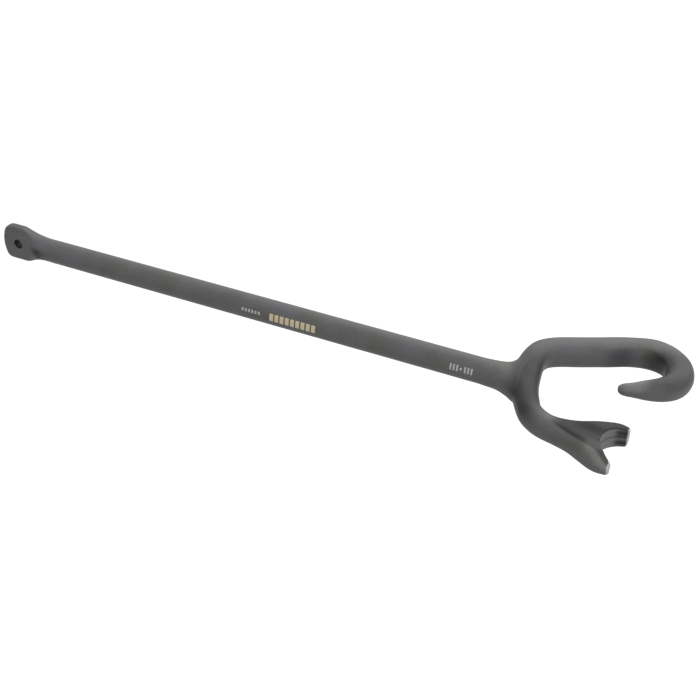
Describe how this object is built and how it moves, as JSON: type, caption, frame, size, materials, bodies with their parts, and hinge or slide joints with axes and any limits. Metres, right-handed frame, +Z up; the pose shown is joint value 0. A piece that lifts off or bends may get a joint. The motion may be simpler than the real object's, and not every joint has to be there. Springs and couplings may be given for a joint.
{
  "type": "fire hydrant wrench",
  "caption": "Hook-and-claw hydrant wrench: round steel handle with a flattened hanging eye, and a forked head with a curled hook and a notched claw.",
  "frame": {"origin": "centre of the hanging hole in the eye at the handle's rear end, on the handle's axis", "axes": "+X along the handle from the eye to the head, +Y towards the hook, +Z up, square to the plane of the head; the eye's hole runs along Y"},
  "size_m": [0.4586, 0.1188, 0.0254],
  "materials": {
    "forged_steel": "satin, forged texture under thin dark paint",
    "gold_ink": "thin printed ink, satin",
    "white_ink": "thin printed ink, satin"
  },
  "bodies": {
    "root": {"handle_eye": "forged_steel", "handle_shoulder": "forged_steel", "handle_shank": "forged_steel", "head_neck": "forged_steel", "head_yoke": "forged_steel", "hook_arm": "forged_steel", "hook_bend": "forged_steel", "hook_point": "forged_steel", "claw_arm": "forged_steel", "claw_palm": "forged_steel", "claw_tine_inner": "forged_steel", "claw_tine_outer": "forged_steel", "stripe_mark_gold": "gold_ink", "stripe_mark_white": "white_ink", "size_mark": "white_ink"}
  },
  "joints": []
}
